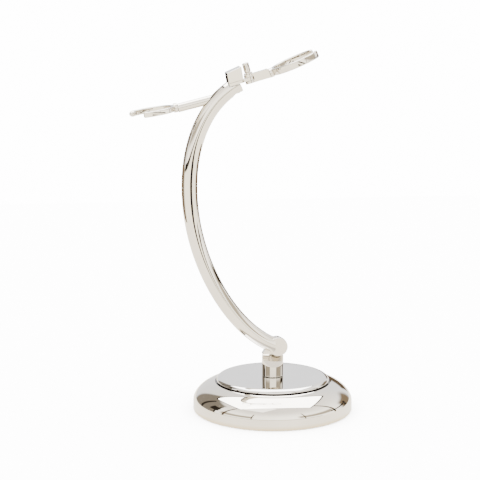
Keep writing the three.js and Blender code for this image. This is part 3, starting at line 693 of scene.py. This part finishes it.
def make_post():
    outline = post_outline()
    edge = rounded([(0, POST_FOOT_Z), (POST_RADIUS, POST_FOOT_Z), (POST_RADIUS, HINGE[1] + TANG_RADIUS),
                    (0, HINGE[1] + TANG_RADIUS)], 0.2)
    barrel = from_bm(lathe_bm(edge, FINE), "post_skin")
    boolean(barrel, [upright_prism(outline, -POST_RADIUS - 1, POST_RADIUS + 1)], "INTERSECT")
    boolean(barrel, [upright_prism(outline, TANG_FACE_Y, TANG_BACK_Y)], "UNION")
    slope = (FACET_BACK_Z - FACET_FRONT_Z) / (TANG_FACE_Y + POST_RADIUS)
    front = -POST_RADIUS - 1
    half_width = 15
    relief = [(front, FACET_FRONT_Z - slope), (TANG_FACE_Y, FACET_BACK_Z), (TANG_FACE_Y, ABOVE_POST_Z),
              (front, ABOVE_POST_Z)]
    relief_bm = prism_bm(relief, -half_width, half_width)
    relief_bm.transform(Matrix(((0, 0, 1, 0), (1, 0, 0, 0), (0, 1, 0, 0), (0, 0, 0, 1))))
    side = BESIDE_POST
    rear_flat = box_bm((-side, TANG_BACK_Y, FACET_BACK_Z - REAR_FLAT_DROP), (side, side, ABOVE_POST_Z))
    foot = box_bm((-side, TANG_FACE_Y - TANG_UNDERCUT, 0), (side, side, FACET_BACK_Z))
    overhang = from_bm(foot, "overhang")
    boolean(overhang, [cylinder_bm(POST_RADIUS, -1, ABOVE_POST_Z, FINE)], "DIFFERENCE")
    apply_boolean(barrel, overhang, "DIFFERENCE")
    bore = hinge_cylinder(HINGE_SCREW_RADIUS + GAP, -side, side, SMALL)
    boolean(barrel, [relief_bm, rear_flat, bore], "DIFFERENCE")
    boolean(barrel, [cylinder_bm(STUD_RADIUS, STUD_END_Z, POST_FOOT_Z + 1, SMALL)], "UNION")
    nickel(barrel, "post", "base")


def hinge_turned(profile, segments=ROUND):
    """A (radius, y) profile turned about the hinge's axis."""
    return moved(lathe_bm(profile, segments), Matrix.Translation((HINGE[0], 0, HINGE[1])) @ ALONG_Y)


def hinge_cylinder(radius, front, back, segments=ROUND):
    return hinge_turned([(0, front), (radius, front), (radius, back), (0, back)], segments)


def hinge_washer(outer, front, back, node):
    inner = HINGE_SCREW_RADIUS + GAP
    profile = rounded([(inner, front), (outer, front), (outer, back), (inner, back), (inner, front)], 0.1)
    steel(from_bm(hinge_turned(profile), f"{node}_skin"), node, "stem")


def make_hinge():
    hinge_washer(FRICTION_WASHER_RADIUS, FRICTION_WASHER_FRONT_Y, TANG_FACE_Y - GAP, "friction_washer")
    hinge_washer(SPRING_WASHER_RADIUS, TANG_BACK_Y + GAP, TANG_BACK_Y + SPRING_WASHER_BACK, "spring_washer")
    back = TANG_BACK_Y + SPRING_WASHER_SPACE + HINGE_HEAD_HEIGHT
    seat = back - HINGE_HEAD_HEIGHT
    end = seat - HINGE_SHANK_LENGTH
    head, shank, tip = HINGE_HEAD_RADIUS, HINGE_SCREW_RADIUS, 0.2
    profile = [(0, back), (head - 0.45, back), (head - 0.15, back - 0.15), (head, back - 0.45), (head, seat),
               (shank, seat), (shank, end + tip), (shank - tip, end), (0, end)]
    screw = from_bm(hinge_turned(profile), "hinge_screw_skin")
    floor, rim = back - HINGE_SOCKET_DEPTH, back + 1
    socket = hinge_turned([(0, floor), (HINGE_SOCKET_RADIUS, floor), (HINGE_SOCKET_RADIUS, rim), (0, rim)], 6)
    steel(boolean(screw, [socket], "DIFFERENCE"), "hinge_screw", "stem")


# --- Stem ---

def bezier(p0, p1, p2, p3, t):
    s = 1 - t
    point = p0 * s ** 3 + p1 * 3 * s * s * t + p2 * 3 * s * t * t + p3 * t ** 3
    slope = (p1 - p0) * 3 * s * s + (p2 - p1) * 6 * s * t + (p3 - p2) * 3 * t * t
    return point, slope.normalized()


def stem_path(steps=110):
    hinge, outer, top = Vector(HINGE), Vector(STEM_OUTERMOST), Vector(STEM_TOP)
    root = Vector((-math.cos(STEM_ROOT_RISE), math.sin(STEM_ROOT_RISE)))
    end = Vector((-math.cos(STEM_TOP_RISE), -math.sin(STEM_TOP_RISE)))
    lower = (hinge, hinge + root * STEM_ROOT_REACH, outer - Vector((0, STEM_LOWER_REACH)), outer)
    upper = (outer, outer + Vector((0, STEM_UPPER_REACH)), top + end * STEM_TOP_REACH, top)
    rows = [bezier(*lower, i / steps) for i in range(steps)]
    rows += [bezier(*upper, i / (steps // 2)) for i in range(steps // 2 + 1)]
    return rows


def stem_rod(radius, segments=ROUND):
    rows = stem_path()
    centres = [Vector((p.x, 0, p.y)) for p, _ in rows]
    normals = [Vector((-d.y, 0, d.x)) for _, d in rows]
    sides = [Vector((0, 1, 0))] * len(rows)
    section = [(radius * math.cos(2 * PI * i / segments), radius * math.sin(2 * PI * i / segments))
               for i in range(segments)]
    return sweep_bm(centres, normals, sides, section)


def head_screw_bores():
    shank = cylinder_bm(HEAD_SCREW_RADIUS + GAP, HEAD_BORE_BOTTOM_Z, HEAD_BORE_TOP_Z, SMALL)
    head = cylinder_bm(HEAD_BORE_RADIUS, HEAD_BORE_BOTTOM_Z, SCREW_SEAT_Z, SMALL)
    return [moved(bm, Matrix.Translation((HEAD_SCREW_X, 0, 0))) for bm in (shank, head)]


def make_stem():
    rod = from_bm(stem_rod(STEM_RADIUS), "curved_stem_skin")
    depth = 10
    past_root = box_bm((STEM_ROOT_X, -depth, ROOT_CUT_BOTTOM_Z), (BESIDE_POST, depth, ROOT_CUT_TOP_Z))
    boolean(rod, [past_root, hinge_cylinder(LAP_RADIUS, EYE_BACK_Y, depth, FINE)], "DIFFERENCE")
    front, back = EYE_FRONT_Y, EYE_BACK_Y
    eye = rounded([(0, front), (EYE_RADIUS, front), (EYE_RADIUS, back), (0, back)], 0.25)
    boolean(rod, [hinge_turned(eye, FINE)], "UNION")
    reach = HEAD_REACH
    seat = moved(box_bm((BLOCK_LEFT - GAP, -reach, -PLATE_HALF - GAP), (reach, reach, reach)), HEAD_M)
    bore = hinge_cylinder(HINGE_SCREW_RADIUS + GAP, HINGE_BORE_FRONT_Y, 1, SMALL)
    low, high = LEFT_ARM_LENGTH - SPIGOT_LENGTH, LEFT_ARM_LENGTH + GAP
    spigot = moved(cylinder_bm(SPIGOT_RADIUS + GAP, low, high, SMALL), LEFT_ARM_M @ ALONG_X)
    bores = [moved(bm, HEAD_M) for bm in head_screw_bores()]
    boolean(rod, [seat, bore, spigot, *bores], "DIFFERENCE")
    nickel(rod, "curved_stem", "stem")


# --- Rings ---

def ring_section(height):
    """Band section with soft corners, across the band (a) and up (b)."""
    half_w, half_h = BAND_WIDTH / 2, height / 2
    square = [(-half_w, -half_h), (half_w, -half_h), (half_w, half_h), (-half_w, half_h)]
    return rounded_loop(square, RING_CORNER, 6)


def ring_band(ring, steps=120):
    """The open band, narrowing to a rounded end at each tip."""
    middle = ring["radius"] - BAND_WIDTH / 2
    low = ring["tips"][1]
    high = ring["tips"][0] + 2 * PI
    cap = BAND_WIDTH / 2 / middle
    section = ring_section(ring["height"])
    bm = bmesh.new()
    rows = []
    tip = [PI / 2 * i / TIP_STEPS for i in range(1, TIP_STEPS + 1)]
    angles = [(low - cap * math.cos(t), math.sin(t)) for t in tip]
    angles += [(low + (high - low) * i / steps, 1.0) for i in range(1, steps)]
    angles += [(high + cap * math.cos(t), math.sin(t)) for t in tip[::-1]]
    for angle, scale in angles:
        out = Vector((math.cos(angle), math.sin(angle), 0))
        up = Vector((0, 0, TIP_HEIGHT + (1 - TIP_HEIGHT) * scale))
        rows.append([bm.verts.new(out * (middle + a * scale) + up * b) for a, b in section])
    for one, two in zip(rows, rows[1:]):
        for i in range(len(section)):
            j = (i + 1) % len(section)
            bm.faces.new([one[i], one[j], two[j], two[i]])
    bm.faces.new(rows[0][::-1])
    bm.faces.new(rows[-1])
    return bm


def end_lobe(ring):
    """A soft rounded end, drawn out along the band, on the ring's first tip."""
    middle = ring["radius"] - BAND_WIDTH / 2
    ball = lathe_bm([(LOBE_RADIUS * math.sin(PI * i / 32), -LOBE_RADIUS * math.cos(PI * i / 32))
                     for i in range(33)], SMALL)
    ball.transform(Matrix.Diagonal((1, LOBE_STRETCH, 1, 1)))
    ball.transform(Matrix.Rotation(ring["tips"][0], 4, "Z") @ Matrix.Translation((middle, 0, 0)))
    return ball


def inward(ring, x=None):
    """Places a shape drawn along +Z so that it runs from x, or the band's middle, to the arm."""
    start = BAND_WIDTH / 2 - ring["radius"] if x is None else x
    return ring_matrix(ring) @ Matrix.Translation((start, 0, 0)) @ AGAINST_X


def make_ring(ring, node, body, lobe=False):
    middle = ring["radius"] - BAND_WIDTH / 2
    band = from_bm(moved(ring_band(ring), ring_matrix(ring)), f"{node}_skin")
    length = BOSS_LENGTH + BAND_WIDTH / 2
    boss = rounded([(0, 0), (BOSS_RADIUS, 0), (BOSS_RADIUS, length), (0, length)], 0.22)
    extras = [moved(lathe_bm(boss, ROUND), inward(ring))]
    if lobe:
        extras.append(moved(end_lobe(ring), ring_matrix(ring)))
    boolean(band, extras, "UNION")
    bore = cylinder_bm(RING_SCREW_RADIUS + GAP, 0, RING_BORE_LENGTH, SMALL)
    seat = cylinder_bm(RING_SCREW_SEAT, 0, RING_SEAT_LENGTH, SMALL)
    moved(bore, inward(ring, RING_BORE_INSIDE - middle))
    moved(seat, inward(ring, RING_SEAT_INSIDE - middle))
    boolean(band, [bore, seat], "DIFFERENCE")
    nickel(band, node, body)
    make_ring_screw(ring, f"{node}_screw", body)


def make_ring_screw(ring, node, body):
    top, shoulder = RING_SCREW_TOP, RING_SCREW_SHOULDER
    end = BOSS_LENGTH + BAND_WIDTH / 2 + RING_SCREW_REACH
    head, shank = RING_SCREW_HEAD, RING_SCREW_RADIUS
    profile = [(0, -top), (0.62 * head, -top), (0.87 * head, 0.12 - top), (head, 0.42 - top),
               (head, shoulder), (shank, shoulder), (shank, end), (0, end)]
    screw = from_bm(moved(lathe_bm(profile, SMALL), inward(ring)), f"{node}_skin")
    half_width, depth, past = 0.2, 0.35, 2
    slot = box_bm((-past, -half_width, -past), (past, half_width, depth - top))
    steel(boolean(screw, [moved(slot, inward(ring))], "DIFFERENCE"), node, body)


def arm_end_cutters(ring):
    face = ring["radius"] + BOSS_LENGTH + GAP
    beyond = box_bm((-face, -PAST_END, -PAST_END), (PAST_END, PAST_END, PAST_END))
    hole = cylinder_bm(RING_SCREW_RADIUS + GAP, 0, RING_SCREW_REACH + 1, SMALL)
    return [moved(beyond, ring_matrix(ring)), moved(hole, inward(ring, 1 - face))]


def make_left_arm():
    rod = cylinder_bm(LEFT_ARM_RADIUS, -2, LEFT_ARM_LENGTH - SPIGOT_SHOULDER, ROUND)
    arm = from_bm(moved(rod, LEFT_ARM_M @ ALONG_X), "left_arm_skin")
    boolean(arm, [stem_rod(STEM_RADIUS + GAP)] + arm_end_cutters(LEFT_FORK), "DIFFERENCE")
    spigot = cylinder_bm(SPIGOT_RADIUS, LEFT_ARM_LENGTH - SPIGOT_LENGTH, LEFT_ARM_LENGTH, SMALL)
    boolean(arm, [moved(spigot, LEFT_ARM_M @ ALONG_X)], "UNION")
    nickel(arm, "left_arm", "stem")


# --- Head ---

def make_head_block():
    outline = [(BLOCK_LEFT, BLOCK_BOTTOM), (BLOCK_RIGHT, BLOCK_BOTTOM), BLOCK_TOP_RIGHT, BLOCK_TOP_LEFT]
    half = BLOCK_HALF_DEPTH
    block = from_bm(moved(upright_prism(outline, -half, half), HEAD_M), "head_block_skin")
    boolean(block, [moved(head_screw_bores()[0], HEAD_M)], "DIFFERENCE")
    nickel(soften(block, 0.3, 4), "head_block", "stem")


def pivot_bore():
    return moved(cylinder_bm(PIVOT_RADIUS + GAP, -HEAD_REACH, HEAD_REACH, SMALL), HEAD_M)


def make_pivot_plate():
    half, lug = PIVOT_PLATE_WIDTH / 2, LUG_RADIUS
    left = BLOCK_LEFT + PLATE_INSET
    taper_from, taper_to = BLOCK_RIGHT + PLATE_TAPER_FROM, BLOCK_RIGHT + PLATE_TAPER_TO
    plan = [(left, half), (left, -half), (taper_from, -half), (taper_to, -lug)]
    plan += arc(0, 0, lug, lug, -PI / 2, PI / 2, 32)
    plan += [(taper_to, lug), (taper_from, half)]
    plate = from_bm(moved(prism_bm(plan, -PLATE_HALF, PLATE_HALF), HEAD_M), "pivot_plate_skin")
    boolean(plate, [pivot_bore(), moved(head_screw_bores()[0], HEAD_M)], "DIFFERENCE")
    nickel(soften(plate, 0.12, 2), "pivot_plate", "stem")


def make_head_screw():
    seat = SCREW_SEAT_Z - GAP
    low = seat - HEAD_SCREW_HEAD_HEIGHT
    head, shank, tip = HEAD_SCREW_HEAD_RADIUS, HEAD_SCREW_RADIUS, 0.2
    profile = [(0, low), (head - 0.4, low), (head - 0.15, low + 0.12), (head, low + 0.4), (head, seat),
               (shank, seat), (shank, HEAD_SCREW_TIP_Z - tip), (shank - tip, HEAD_SCREW_TIP_Z),
               (0, HEAD_SCREW_TIP_Z)]
    matrix = HEAD_M @ Matrix.Translation((HEAD_SCREW_X, 0, 0))
    screw = from_bm(moved(lathe_bm(profile, SMALL), matrix), "head_screw_skin")
    half_width, depth, past = 0.35, 0.6, 3
    slot = box_bm((-past, -half_width, low - 1), (past, half_width, low + depth))
    boolean(screw, [moved(slot, matrix)], "DIFFERENCE")
    steel(screw, "head_screw", "stem")


def quadratic(p0, p1, p2, steps=10):
    return [((1 - t) ** 2 * p0[0] + 2 * t * (1 - t) * p1[0] + t * t * p2[0],
             (1 - t) ** 2 * p0[1] + 2 * t * (1 - t) * p1[1] + t * t * p2[1]) for t in
            [i / steps for i in range(steps + 1)]]


def make_right_arm():
    lug, w, e = LUG_RADIUS, ARM_HALF_WIDTH, ARM_END_HALF_WIDTH
    neck = math.asin(w / lug)
    plan = arc(0, 0, lug, lug, neck, 2 * PI - neck, 48)
    start, middle, end, past = ARM_FLARE_START, ARM_FLARE_MIDDLE, ARM_FLARE_END, ARM_PAST_END
    plan += quadratic((start, -w), (middle, -w), (end, -e))
    plan += [(past, -e), (past, e)]
    plan += quadratic((end, e), (middle, w), (start, w))
    arm = from_bm(moved(prism_bm(plan, -ARM_HALF_HEIGHT, ARM_HALF_HEIGHT), HEAD_M), "right_arm_skin")
    slot = cylinder_bm(lug + ARM_SLOT_CLEARANCE, -PLATE_HALF - GAP, PLATE_HALF + GAP, ROUND)
    boolean(arm, [moved(slot, HEAD_M), pivot_bore()] + arm_end_cutters(RIGHT_RING), "DIFFERENCE")
    nickel(soften(arm, 0.22), "right_arm", "right_arm")


def make_thumb_screw():
    edge, tip, chamfer = 0.45, 0.15, 0.2
    end = 0.2 - ARM_HALF_HEIGHT
    profile = [(0, end), (PIVOT_RADIUS - tip, end), (PIVOT_RADIUS, end + tip), (PIVOT_RADIUS, THUMB_BOTTOM_Z),
               (THUMB_RADIUS - chamfer, THUMB_BOTTOM_Z), (THUMB_RADIUS, THUMB_BOTTOM_Z + chamfer)]
    profile += arc(THUMB_RADIUS - edge, THUMB_TOP_Z - edge, edge, edge, 0, PI / 2, 8)
    profile += [(0, THUMB_TOP_Z)]
    screw = from_bm(moved(lathe_bm(profile, ROUND), HEAD_M), "thumb_screw_skin")
    nickel(screw, "thumb_screw", "thumb_screw")
    inner, outer = PIVOT_RADIUS + GAP, THUMB_WASHER_RADIUS
    low, high = ARM_HALF_HEIGHT + GAP, THUMB_WASHER_TOP_Z
    profile = rounded([(inner, low), (outer, low), (outer, high), (inner, high), (inner, low)], 0.12)
    washer = from_bm(moved(lathe_bm(profile, ROUND), HEAD_M), "thumb_washer_skin")
    nickel(washer, "thumb_washer", "thumb_screw")


make_base_shell()
make_top_disc()
make_weight()
make_plate_and_pad()
make_clamp()
make_plate_screws()
make_post()
make_hinge()
make_stem()
make_left_arm()
make_ring(LEFT_FORK, "left_fork", "stem", lobe=True)
make_head_block()
make_pivot_plate()
make_head_screw()
make_right_arm()
make_ring(RIGHT_RING, "right_ring", "right_arm")
make_thumb_screw()


# --- Studio ---

def floor_material():
    """Plain pale paper. The polished metal mirrors it as one dimmer cream, which keeps the metal
    from washing out beside the white backdrop."""
    material, nodes, links, shader = new_material("studio_floor")
    shader.inputs["Base Color"].default_value = (0.94, 0.94, 0.94, 1.0)
    shader.inputs["Roughness"].default_value = 0.9
    shader.inputs["Specular IOR Level"].default_value = 0.0
    mirrored = nodes.new("ShaderNodeEmission")
    mirrored.inputs["Color"].default_value = (*TABLE_MIRRORED, 1.0)
    choice = nodes.new("ShaderNodeMixShader")
    links.new(nodes.new("ShaderNodeLightPath").outputs["Is Glossy Ray"], choice.inputs["Fac"])
    links.new(shader.outputs["BSDF"], choice.inputs[1])
    links.new(mirrored.outputs["Emission"], choice.inputs[2])
    links.new(choice.outputs["Shader"], nodes["Material Output"].inputs["Surface"])
    return material


def make_floor(width, depth, back):
    bm = bmesh.new()
    side, front = width / 2, back - depth
    corners = [(-side, front, 0), (side, front, 0), (side, back, 0), (-side, back, 0)]
    bm.faces.new([bm.verts.new(corner) for corner in corners])
    mesh = bpy.data.meshes.new("floor")
    bm.to_mesh(mesh)
    bm.free()
    floor = to_object(mesh, "floor")
    floor.data.materials.append(floor_material())


def area_light(name, location, target, size, power):
    data = bpy.data.lights.new(name, "AREA")
    data.shape = "RECTANGLE"
    data.size, data.size_y = size
    data.energy = power
    lamp = bpy.data.objects.new(name, data)
    lamp.location = location
    aim = Vector(target) - Vector(location)
    lamp.rotation_euler = aim.to_track_quat("-Z", "Y").to_euler()
    bpy.context.scene.collection.objects.link(lamp)


class Sums:
    """Short names for the maths nodes of one node tree."""

    def __init__(self, tree):
        self.nodes, self.links = tree.nodes, tree.links

    def feed(self, socket, value):
        if isinstance(value, (int, float)):
            socket.default_value = value
        else:
            self.links.new(value, socket)

    def op(self, operation, *values):
        node = self.nodes.new("ShaderNodeMath")
        node.operation = operation
        for socket, value in zip(node.inputs, values):
            self.feed(socket, value)
        return node.outputs["Value"]

    def mul(self, *values):
        total = values[0]
        for value in values[1:]:
            total = self.op("MULTIPLY", total, value)
        return total

    def step(self, value, low, high):
        """0 below low, 1 above high, smooth between; high may be the smaller one."""
        node = self.nodes.new("ShaderNodeMapRange")
        node.interpolation_type = "SMOOTHSTEP"
        self.feed(node.inputs["Value"], value)
        flip = low > high
        node.inputs["From Min"].default_value = min(low, high)
        node.inputs["From Max"].default_value = max(low, high)
        node.inputs["To Min"].default_value = 1.0 if flip else 0.0
        node.inputs["To Max"].default_value = 0.0 if flip else 1.0
        return node.outputs["Result"]

    def band(self, value, low, high, soft):
        return self.mul(self.step(value, low - soft, low + soft), self.step(value, high + soft, high - soft))

    def mix(self, factor, under, over):
        node = self.nodes.new("ShaderNodeMix")
        node.data_type = "RGBA"
        self.feed(node.inputs["Factor"], factor)
        for name, colour in (("A", under), ("B", over)):
            if isinstance(colour, tuple):
                node.inputs[name].default_value = (*colour, 1.0)
            else:
                self.links.new(colour, node.inputs[name])
        return node.outputs["Result"]


BACKDROP = (15.0, 15.0, 15.0)
TABLE_MIRRORED = (3.9, 3.62, 3.12)
TENT_FRONT = (4.8, 4.6, 4.2)
TENT_BACK = (2.25, 2.25, 2.3)
TENT_ROOF = (2.75, 2.6, 2.4)
TENT_LOW = (4.2, 3.95, 3.3)
SOFT_BOX = (14.0, 14.0, 14.0)
DARK = (0.05, 0.04, 0.03)
BROWN = (0.20, 0.14, 0.085)
TAN = (0.42, 0.31, 0.20)
CREAM = (1.15, 1.0, 0.78)
SLATE = (0.46, 0.40, 0.33)

# dark flags beside and behind the stand, the seams of the tent, and the table's front edge:
# azimuth from and to, elevation from and to, softness of the edge, colour
FLAGS = (
    (-90, -38, 9, 24, 4, CREAM),
    (30, 90, 9, 24, 4, CREAM),
    (-156, -101, -2, 46, 3, SLATE),
    (-133, -128, -2, 40, 1.5, DARK),
    (-103, -99, -2, 40, 0.8, DARK),
    (-181, -90, -40, 0, 1, TAN),
    (-181, -164, -25, 0, 1, DARK),
    (90, 181, -40, -3, 2, TAN),
    (150, 172, -3, 12, 2, BROWN),
    (110, 142, -32, 24, 5, TAN),
    (118, 123, -32, 16, 1.5, DARK),
    (-86, -82, -35, 60, 0.7, BROWN),
    (-40, -38, -1, 40, 0.5, BROWN),
    (38, 40, -1, 40, 0.5, BROWN),
    (90, 94, -35, 60, 0.7, BROWN),
    (-88, 66, -1.8, 1.6, 0.5, DARK),
    (2, 34, -10.5, -6, 0.7, DARK),
    (-114, -96, 16, 32, 1.5, DARK),
    (84, 117, 9, 14, 1, DARK),
)

# the dark frame overhead and the soft box inside it, on a plane one unit above the stand:
# half width where it ends and where it is full, place along Y from and to, colour
OVERHEAD = (
    (0.74, 0.71, -0.168, 0.93, DARK),
    (0.69, 0.67, -0.145, 0.87, SOFT_BOX),
)
OVERHEAD_EDGE = 0.006
CAMERA_LENS = 110.1
CAMERA_PLACE = (-0.1095, -0.6914, 0.20735)
CAMERA_DOWN = math.radians(9.97)
CAMERA_TURN = math.radians(-7.69)


def make_world():
    """A pale backdrop, and the studio that the polished metal mirrors.

    Directions are given as azimuth in degrees, 0 at the front (-Y) and 90 at the right (+X),
    and as elevation in degrees.
    """
    world = bpy.data.worlds.new("studio")
    bpy.context.scene.world = world
    world.use_nodes = True
    tree = world.node_tree
    s = Sums(tree)
    coords = tree.nodes.new("ShaderNodeTexCoord").outputs["Generated"]
    split = tree.nodes.new("ShaderNodeSeparateXYZ")
    tree.links.new(coords, split.inputs["Vector"])
    x, y, z = split.outputs["X"], split.outputs["Y"], split.outputs["Z"]
    degrees = 180 / PI
    elevation = s.mul(s.op("ARCSINE", z), degrees)
    azimuth = s.mul(s.op("ARCTAN2", x, s.mul(y, -1.0)), degrees)
    side = s.op("ABSOLUTE", azimuth)
    up = s.op("MAXIMUM", z, 0.05)
    u = s.op("ABSOLUTE", s.op("DIVIDE", x, up))
    v = s.op("DIVIDE", y, up)

    # walls of the tent: white in front, grey behind, warmer with height
    colour = s.mix(s.step(side, 60, 160), TENT_FRONT, TENT_BACK)
    colour = s.mix(s.step(elevation, 18, 60), colour, TENT_ROOF)
    # below the horizon, past the end of the table
    colour = s.mix(s.step(elevation, 1, -2), colour, TENT_LOW)
    for az_low, az_high, el_low, el_high, soft, tone in FLAGS:
        flag = s.mul(s.band(azimuth, az_low, az_high, soft), s.band(elevation, el_low, el_high, soft))
        colour = s.mix(flag, colour, tone)
    above = s.step(z, 0.0, 0.1)
    for side_out, side_in, v_low, v_high, tone in OVERHEAD:
        inside = s.mul(s.step(u, side_out, side_in), s.band(v, v_low, v_high, OVERHEAD_EDGE), above)
        colour = s.mix(inside, colour, tone)

    seen = tree.nodes.new("ShaderNodeLightPath").outputs["Is Glossy Ray"]
    colour = s.mix(seen, BACKDROP, colour)
    tree.links.new(colour, tree.nodes["Background"].inputs["Color"])
    tree.nodes["Background"].inputs["Strength"].default_value = 1.0


def make_camera():
    data = bpy.data.cameras.new("camera")
    data.lens = CAMERA_LENS
    data.sensor_width = 36
    data.clip_end = 20
    camera = bpy.data.objects.new("camera", data)
    camera.location = CAMERA_PLACE
    camera.rotation_euler = (PI / 2 - CAMERA_DOWN, 0, CAMERA_TURN)
    bpy.context.scene.collection.objects.link(camera)
    bpy.context.scene.camera = camera


make_world()
make_floor(width=0.62, depth=1.1, back=0.7)
area_light("key", location=(-0.35, -0.3, 1.3), target=(0, 0, 0.08), size=(0.6, 0.6), power=3)
make_camera()
